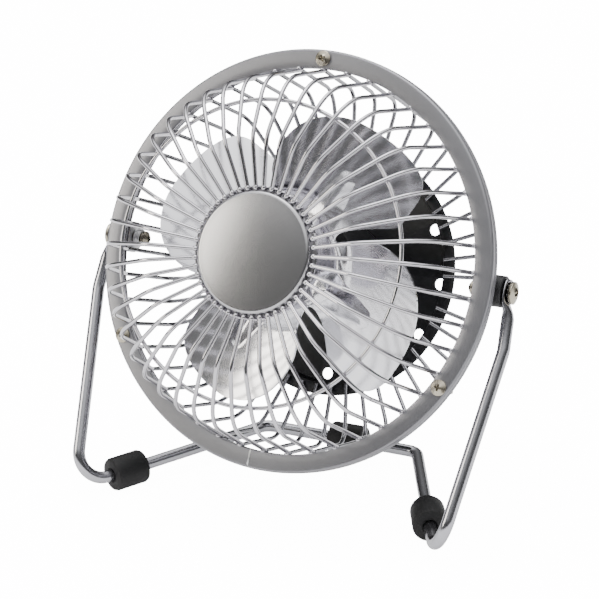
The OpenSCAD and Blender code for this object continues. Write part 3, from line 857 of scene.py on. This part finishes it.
def crossScrew(head, shank):
    # pan head above Z = 0 with a tapered cross recess, shank below; each as (radius, length)
    (headR, headH), (shankR, shankLen) = head, shank
    top = headH * 0.45
    crown = arc((0, headH - 0.9 * headR), 0.9 * headR, 90, 52, 5)
    outline = [(0, headH)] + crown[1:]
    outline += [(headR * 0.86, top + headH * 0.12), (headR, top), (headR, 0.12 * headH),
                (headR * 0.96, 0), (shankR, 0), (shankR, -shankLen + 0.3),
                (shankR - 0.3, -shankLen), (0, -shankLen)]
    screw = lathe([(r * mm, z * mm) for r, z in outline], 40)
    arm, slit = headR * 0.60 * mm, headR * 0.17 * mm
    floorZ = headH * 0.14 * mm
    cutters = [block((-arm, -slit, floorZ), (arm, slit, 2 * headH * mm)),
               block((-slit, -arm, floorZ), (slit, arm, 2 * headH * mm))]

    def taper(co):
        narrow = 1 if co.z > floorZ + 1e-6 else 0.6
        return Vector((co.x * narrow, co.y * narrow, co.z))

    for cutter in cutters:
        moveVerts(cutter, taper)
    return cutAway(screw, cutters)


def onCircle(degrees, radius, depth=0.0):
    # a place on a circle round the head's axis, turned to face outwards
    return (Matrix.Rotation(math.radians(degrees), 4, "Z")
            @ Matrix.Translation((radius * mm, 0, depth * mm)))


def makeRingScrews():
    s = ringScrewSettings
    screw = crossScrew(s["head"], s["shank"])
    ready = []
    for angle in s["angles"]:
        spot = onCircle(angle, s["circle"])
        flip = Matrix.Rotation(math.pi, 4, "X") @ Matrix.Rotation(math.radians(angle * 0.7), 4, "Z")
        ready.append(copyOf(screw, spot @ flip))
    bpy.data.objects.remove(screw)
    finish(onHead(join(ready)), "ringScrews", "head", "screw_plate", "ring_screws")


def makeCoverScrews():
    s = coverScrewSettings
    screw = crossScrew(s["head"], s["shank"])
    ready = [copyOf(screw, onCircle(angle, s["circle"], coverSettings["back"] - coverSettings["well"]))
             for angle in s["angles"]]
    bpy.data.objects.remove(screw)
    finish(onHead(join(ready)), "coverScrews", "head", "screw_plate", "cover_screws")


makeRingScrews()
print("ring screws made")


# pivots

pivotSettings = {"lug": 71.5, "lugThick": 1.6, "bush": 65.5, "bracket": 64.4, "spring": 61.3,
                 "outerScrew": ((3.7, 2.2), (1.5, 5)), "innerScrew": ((2.55, 2.4), (1.5, 7)),
                 "innerTurn": 0.4, "play": 0.02}
washerSettings = {"radius": 3.3, "teeth": 14, "toothReach": 1.13, "width": 1.6, "thick": 0.46}
springSettings = {"radius": 2.6, "turns": 4, "coil": 0.33, "spare": 0.25, "from": 0.08, "steps": 24}
bracketSettings = {"half": 5.25, "from": 4.0, "sheet": 0.9, "hole": 1.56, "edge": 0.15}


def atPivot(obj, x):
    # stands a piece built along +Z out along +X at the right-hand pivot
    obj.matrix_world = (Matrix.Translation((x * mm, pivotPoint.y, pivotPoint.z))
                        @ Matrix.Rotation(math.pi / 2, 4, "Y") @ obj.matrix_world)
    return applyPlace(obj)


def bothSides(obj):
    return join([obj, mirrored(obj)])


def makePivots():
    s = pivotSettings
    bushLen = s["lug"] - s["bush"] - s["play"]
    bush = lathe([(r * mm, z * mm) for r, z in
                  [(1.53, 0), (4.85, 0), (5.15, 0.3), (5.15, bushLen - 0.3),
                   (4.85, bushLen), (1.53, bushLen)]], 64, closed=True)
    finish(bothSides(atPivot(bush, s["bush"])), "pivotBushes", "stand", "black_plastic", "pivot_bushes")
    outer = crossScrew(*s["outerScrew"])
    seat = s["lug"] + s["lugThick"] + washerSettings["thick"] + 2 * s["play"]
    finish(bothSides(atPivot(outer, seat)), "outerPivotScrews", "stand",
           "screw_plate", "outer_pivot_screws")
    inner = crossScrew(*s["innerScrew"])
    inner.rotation_euler = (math.pi, 0, s["innerTurn"])
    applyPlace(inner)
    finish(bothSides(atPivot(inner, s["spring"])), "innerPivotScrews", "stand", "screw_plate",
           "inner_pivot_screws")


def makeStarWashers():
    # every other pair of rim points is pulled out into a tooth
    s = washerSettings
    points = s["teeth"] * 4
    bpy.ops.mesh.primitive_circle_add(vertices=points, radius=s["radius"] * mm, fill_type="NGON")
    washer = bpy.context.active_object

    def tooth(co):
        step = round(math.atan2(co.y, co.x) / math.tau * points) % 4
        return co * (s["toothReach"] if step in (0, 1) else 1.0)

    moveVerts(washer, tooth)
    edit(washer)
    bpy.ops.mesh.select_all(action="SELECT")
    bpy.ops.mesh.inset(thickness=s["width"] * mm)
    bpy.ops.mesh.delete(type="FACE")
    leaveEdit()
    applyModifier(washer, "SOLIDIFY", thickness=s["thick"] * mm, offset=1)
    low = min(v.co.z for v in washer.data.vertices)
    moveVerts(washer, lambda co: Vector((co.x, co.y, co.z - low)))
    seat = pivotSettings["lug"] + pivotSettings["lugThick"] + pivotSettings["play"]
    finish(bothSides(atPivot(washer, seat)), "starWashers", "stand", "dark_steel", "star_washers")


def makeSprings():
    # a coil by the Screw modifier, between the inner screw's head and the bracket
    s = springSettings
    gap = pivotSettings["bracket"] - pivotSettings["spring"] - s["spare"]
    travel = gap - 2 * s["coil"]
    bpy.ops.mesh.primitive_circle_add(vertices=10, radius=s["coil"] * mm,
                                      location=(s["radius"] * mm, 0, s["coil"] * mm),
                                      rotation=(math.pi / 2, 0, 0))
    spring = applyPlace(bpy.context.active_object)
    steps = s["steps"] * s["turns"]
    applyModifier(spring, "SCREW", angle=math.tau * s["turns"], screw_offset=travel * mm,
                  steps=steps, render_steps=steps, axis="Z")
    closeAndTurnOut(spring)
    finish(bothSides(atPivot(spring, pivotSettings["spring"] + s["from"])), "frictionSprings", "stand",
           "motor_steel", "friction_springs")


def makeBrackets():
    # sheet ear with a round end and the hole for the inner screw
    s = bracketSettings
    half, start, deep = s["half"], s["from"], pivotDepth / mm
    outline = [(start, -half), *arc((deep, 0), half, -90, 90, 18), (start, half)]
    ear = flatPlate([(x * mm, y * mm) for x, y in outline], s["sheet"] * mm)
    ear = cutAway(ear, [rod(s["hole"] * mm, 6 * mm, (deep * mm, 0, 0))])
    bevelEdges(ear, s["edge"] * mm, 2)
    # plate lies in the plane of the axis and the down way, with its thickness across
    ear.matrix_world = Matrix(((0, 0, 1, 0), (0, 1, 0, 0), (1, 0, 0, 0), (0, 0, 0, 1)))
    applyPlace(ear)
    closeAndTurnOut(ear)
    low = min(v.co.x for v in ear.data.vertices)
    moveVerts(ear, lambda co: Vector((co.x - low + pivotSettings["bracket"] * mm, co.y, co.z)))
    finish(onHead(bothSides(ear)), "pivotBrackets", "head", "motor_steel", "pivot_brackets")


makePivots()
makeStarWashers()
makeSprings()
makeBrackets()
print("pivots made")


# stand

standSettings = {"rod": 2.1, "frontHalf": 66.5, "rearHalf": 29.2, "length": 70.5,
                 "rise": 74.8, "bend": (74.7, 36.5, 58.5), "lugX": 72.3, "pivotBack": 46.0,
                 "bends": (12.0, 8.5, 5.0), "lugBelow": 8.5, "lugInset": 1.7,
                 # rise, thinness, width and shift inwards of each step of the pressed ends
                 "lugSteps": [(2.0, 0.80, 1.25, -0.3), (1.6, 0.62, 1.55, -0.6),
                              (1.4, 0.42, 1.82, -0.6), (1.5, 0.38, 1.90, -0.2),
                              (2.0, 0.38, 1.90, 0), (2.0, 0.38, 1.82, 0), (1.1, 0.38, 1.60, 0),
                              (0.7, 0.37, 1.28, 0), (0.35, 0.34, 0.8, 0)]}
footSettings = {"outer": 5.8, "length": 12.6, "bore": 2.12, "leftAt": 21, "rightAt": 29, "rearX": 3}


def standCorner():
    # the middle of the base's front edge, in millimetres
    s = standSettings
    return Vector((0, pivotPoint.y / mm - s["pivotBack"], pivotPoint.z / mm - s["rise"]))


def pressEnd(tube, side, tip, up):
    # one end of the rod is pressed flat, step by step, round to the top of the lug
    across = up.cross(Vector((1, 0, 0))).normalized()
    edit(tube)
    selectVerts(tube, lambda co: (co / mm - tip).length < 2.4
                and abs((co / mm - tip).dot(up)) < 0.9)
    centre = tip.copy()
    lastThin, lastWide = 1.0, 1.0
    for rise, thin, wide, shift in standSettings["lugSteps"]:
        move = up * rise + Vector((side * shift, 0, 0))
        extrudeBy(move * mm)
        centre = centre + move
        shape = bmesh.from_edit_mesh(tube.data)
        for vert in shape.verts:
            if vert.select:
                off = vert.co / mm - centre
                vert.co = (centre + Vector((off.x * thin / lastThin, 0, 0))
                           + across * (off.dot(across) * wide / lastWide)) * mm
        bmesh.update_edit_mesh(tube.data)
        lastThin, lastWide = thin, wide
    leaveEdit()


def makeStand():
    s = standSettings
    lift = standCorner()
    pivot = Vector((s["lugX"], s["pivotBack"], s["rise"]))
    up = Vector((0, s["pivotBack"] - s["bend"][1], s["rise"] - s["bend"][2])).normalized()
    foot = pivot - up * s["lugBelow"] + Vector((s["lugInset"], 0, 0))
    right = [foot, Vector(s["bend"]), Vector((s["frontHalf"], 0, 0)),
             Vector((s["rearHalf"], s["length"], 0))]
    left = [Vector((-p.x, p.y, p.z)) for p in reversed(right)]
    path = [(p + lift) * mm for p in right + left]
    bends = [b * mm for b in s["bends"]]
    tube = bentTube(path, bends + bends[::-1], s["rod"] * mm, sides=32, arcStep=4)
    for side in (1, -1):
        pressEnd(tube, side, Vector((side * foot.x, foot.y, foot.z)) + lift, up)
    closeAndTurnOut(tube)
    finish(tube, "standRod", "stand", "satin_rod", "stand_frame", angle=40)


def makeFoot(name, node, centre, along):
    # rubber sleeve with rounded ends and a trodden flat underneath
    outer, bore, half = footSettings["outer"], footSettings["bore"], footSettings["length"] / 2
    outline = [(bore, -half + 0.5), (bore + 0.5, -half), (outer - 1.1, -half),
               (outer - 0.35, -half + 0.32), (outer, -half + 1.1), (outer, half - 1.1),
               (outer - 0.35, half - 0.32), (outer - 1.1, half), (bore + 0.5, half),
               (bore, half - 0.5)]
    sleeve = lathe([(r * mm, z * mm) for r, z in outline], 64, closed=True)
    turn = Vector(along).to_track_quat("Z", "Y").to_matrix().to_4x4()
    sleeve.matrix_world = Matrix.Translation(centre) @ turn
    applyPlace(sleeve)
    moveVerts(sleeve, lambda co: Vector((co.x, co.y, max(co.z, 0.0))))
    finish(sleeve, name, "stand", "rubber", node)


def makeFeet():
    s = standSettings
    middle = standCorner()
    for name, node, side, at in (("leftFoot", "front_foot_left", -1, footSettings["leftAt"]),
                                 ("rightFoot", "front_foot_right", 1, footSettings["rightAt"])):
        along = Vector((side * (s["rearHalf"] - s["frontHalf"]), s["length"], 0)).normalized()
        corner = middle + Vector((side * s["frontHalf"], 0, 0))
        makeFoot(name, node, (corner + along * at) * mm, along)
    rear = middle + Vector((footSettings["rearX"], s["length"], 0))
    makeFoot("rearFoot", "rear_foot", rear * mm, (1, 0, 0))


makeStand()
makeFeet()
print("stand made")


# rear plate, housing and cover

plateSettings = {"radius": 43.4, "lip": 36.0, "flat": 42.5, "dish": 39.0, "thick": 1.0,
                 "ventCircle": 36.0, "vent": 2.0, "vents": 12}
housingSettings = {"back": 42.4, "front": 13.0, "bossBore": 1.25}
coverSettings = {"radius": 26.0, "front": 43.55, "back": 54.5, "edge": 3.0, "well": 2, "wellR": 2.6,
                 "bossBore": 1.35, "bossR": 3.4, "bossFront": 43.6, "bossBack": 52.6}
switchSettings = {"y": -9.0, "flange": (7.6, 5.6), "box": (6.5, 4.5), "mouth": (5.2, 3.6),
                  "rockerWide": 9.6}
grommetSettings = {"y": 12, "hole": 3.05}


def makePlate():
    s = plateSettings
    dish, flat, thick = s["dish"], s["flat"], s["thick"]
    outline = [(9, flat), (dish - 1.2, flat), (dish - 0.35, flat - 0.35), (dish, flat - 1.2),
               (dish, s["lip"] + 0.9), (dish + 0.3, s["lip"] + 0.25), (dish + 0.9, s["lip"]),
               (s["radius"] - 0.4, s["lip"]), (s["radius"] - 0.1, s["lip"] + 0.12),
               (s["radius"], s["lip"] + 0.5), (s["radius"] - 0.1, s["lip"] + 0.88),
               (s["radius"] - 0.4, s["lip"] + thick), (dish + thick + 0.4, s["lip"] + thick),
               (dish + thick, s["lip"] + thick + 0.5), (dish + thick, flat + 0.2),
               (dish + 0.7, flat + 0.8), (dish, flat + thick), (9, flat + thick)]
    plate = lathe([(r * mm, z * mm) for r, z in outline], 144, closed=True)
    holes = []
    for i in range(s["vents"]):
        spot = onCircle(360 * i / s["vents"], s["ventCircle"], flat).translation
        holes.append(rod(s["vent"] * mm, 6 * mm, spot, 28))
    cutAway(plate, holes)
    finish(onHead(plate), "rearPlate", "head", "black_metal", "rear_plate", angle=30)


def makeHousing():
    back, front, bore = (housingSettings[key] for key in ("back", "front", "bossBore"))
    outline = [(4.1, front), (14.6, front), (15.6, front + 0.4), (16.0, front + 1.4),
               (16.0, back), (14.4, back), (14.4, front + 1.6), (4.1, front + 1.6)]
    cup = lathe([(r * mm, z * mm) for r, z in outline], 96, closed=True)
    bosses = []
    for angle in coverScrewSettings["angles"]:
        post = lathe([(r * mm, z * mm) for r, z in [(bore, 31.5), (1.9, 30.4), (2.6, 30.6),
                                                    (2.8, 31.2), (2.8, back), (bore, back)]],
                     32, closed=True)
        post.matrix_world = onCircle(angle, coverScrewSettings["circle"])
        web = bevelEdges(block((15.4 * mm, -1.5 * mm, 31 * mm), (17.6 * mm, 1.5 * mm, back * mm)),
                         0.3 * mm, 2)
        web.matrix_world = onCircle(angle, 0)
        bosses += [applyPlace(post), applyPlace(web)]
    finish(onHead(join([cup] + bosses)), "motorHousing", "head", "black_plastic", "motor_housing")


def makeCover():
    s = coverSettings
    rim = [(s["radius"] - s["edge"] + r, s["back"] - s["edge"] + z)
           for r, z in arc((0, 0), s["edge"], 0, 90, 8)]
    outline = [(22.4, s["front"]), (s["radius"] - 0.3, s["front"]),
               (s["radius"], s["front"] + 0.3), *rim, (0, s["back"]), (0, s["back"] - 1.6),
               (20.5, s["back"] - 1.6), (22.0, s["back"] - 2.6), (22.4, s["back"] - 4)]
    shell = lathe([(r * mm, z * mm) for r, z in outline], 112, closed=True)
    cutters = [block((-6.6 * mm, -13.6 * mm, 49 * mm), (6.6 * mm, -4.4 * mm, 60 * mm)),
               rod(grommetSettings["hole"] * mm, 12 * mm, (0, grommetSettings["y"] * mm, 54 * mm))]
    circle, posts = coverScrewSettings["circle"], []
    for angle in coverScrewSettings["angles"]:
        spot = onCircle(angle, circle, s["back"] - s["well"]).translation
        cutters.append(rod(s["wellR"] * mm, 4 * mm, spot + Vector((0, 0, 2 * mm))))
        cutters.append(rod(s["bossBore"] * mm, 30 * mm, spot))
        profile = [(s["bossBore"], s["bossFront"]), (s["bossR"], s["bossFront"]),
                   (s["bossR"], s["bossBack"]), (s["bossBore"], s["bossBack"])]
        post = lathe([(r * mm, z * mm) for r, z in profile], 32, closed=True)
        post.matrix_world = onCircle(angle, circle)
        posts.append(applyPlace(post))
    cutAway(shell, cutters)
    finish(onHead(join([shell] + posts)), "rearCover", "head", "black_plastic", "rear_cover", angle=30)


def makeSwitch():
    s = switchSettings
    back, y = coverSettings["back"], s["y"]

    def layer(size, low, high):
        # a block round the switch's centre, from one depth to another past the cover's back
        return block((-size[0] * mm, (y - size[1]) * mm, (back + low) * mm),
                     (size[0] * mm, (y + size[1]) * mm, (back + high) * mm))

    body = join([bevelEdges(layer(s["flange"], 0.02, 1.2), 0.5 * mm, 3), layer(s["box"], -6.5, 0.4)])
    cutAway(body, [layer(s["mouth"], -4, 4)])
    finish(onHead(body), "switchBody", "head", "black_plastic", "switch_body")
    # rocker: a dished top between two raised ends, on its pin
    side = [(-3.1, 0.0), (-3.1, 1.5), (-2.6, 1.72), (-1.4, 1.15), (0.0, 0.95), (1.5, 1.65),
            (2.5, 2.45), (3.0, 2.5), (3.1, 2.2), (3.1, 0.4), (0.0, -2.4)]
    rocker = flatPlate([(a * mm, b * mm) for a, b in side], s["rockerWide"] * mm)
    rocker.matrix_world = Matrix(((0, 0, 1, 0), (1, 0, 0, 0), (0, 1, 0, 0), (0, 0, 0, 1)))
    applyPlace(rocker)
    low = min(v.co.x for v in rocker.data.vertices)
    moveVerts(rocker, lambda co: Vector((co.x - low - s["rockerWide"] / 2 * mm, co.y + y * mm,
                                         co.z + (back + 0.2) * mm)))
    closeAndTurnOut(rocker)
    bevelEdges(rocker, 0.25 * mm, 2, 30)
    finish(onHead(rocker), "switchRocker", "rocker", "black_plastic", "switch_rocker", angle=30)


def makeGrommet():
    back = coverSettings["back"]
    outline = [(1.8, back - 2.5), (3.0, back - 2.5), (3.0, back), (4.0, back), (4.4, back + 0.3),
               (4.4, back + 0.9), (4.1, back + 1.2), (3.3, back + 1.3), (3.2, back + 1.9),
               (2.9, back + 2.1), (2.9, back + 2.5), (3.1, back + 2.7), (3.0, back + 3.3),
               (2.7, back + 3.5), (2.7, back + 3.9), (2.8, back + 4.1), (2.6, back + 4.6),
               (1.8, back + 4.6)]
    grommet = lathe([(r * mm, z * mm) for r, z in outline], 48, closed=True)
    grommet.matrix_world = Matrix.Translation((0, grommetSettings["y"] * mm, 0))
    applyPlace(grommet)
    finish(onHead(grommet), "cableGrommet", "head", "rubber", "cable_grommet")


makePlate()
makeHousing()
makeCover()
makeCoverScrews()
makeSwitch()
makeGrommet()
print("back of the head made")
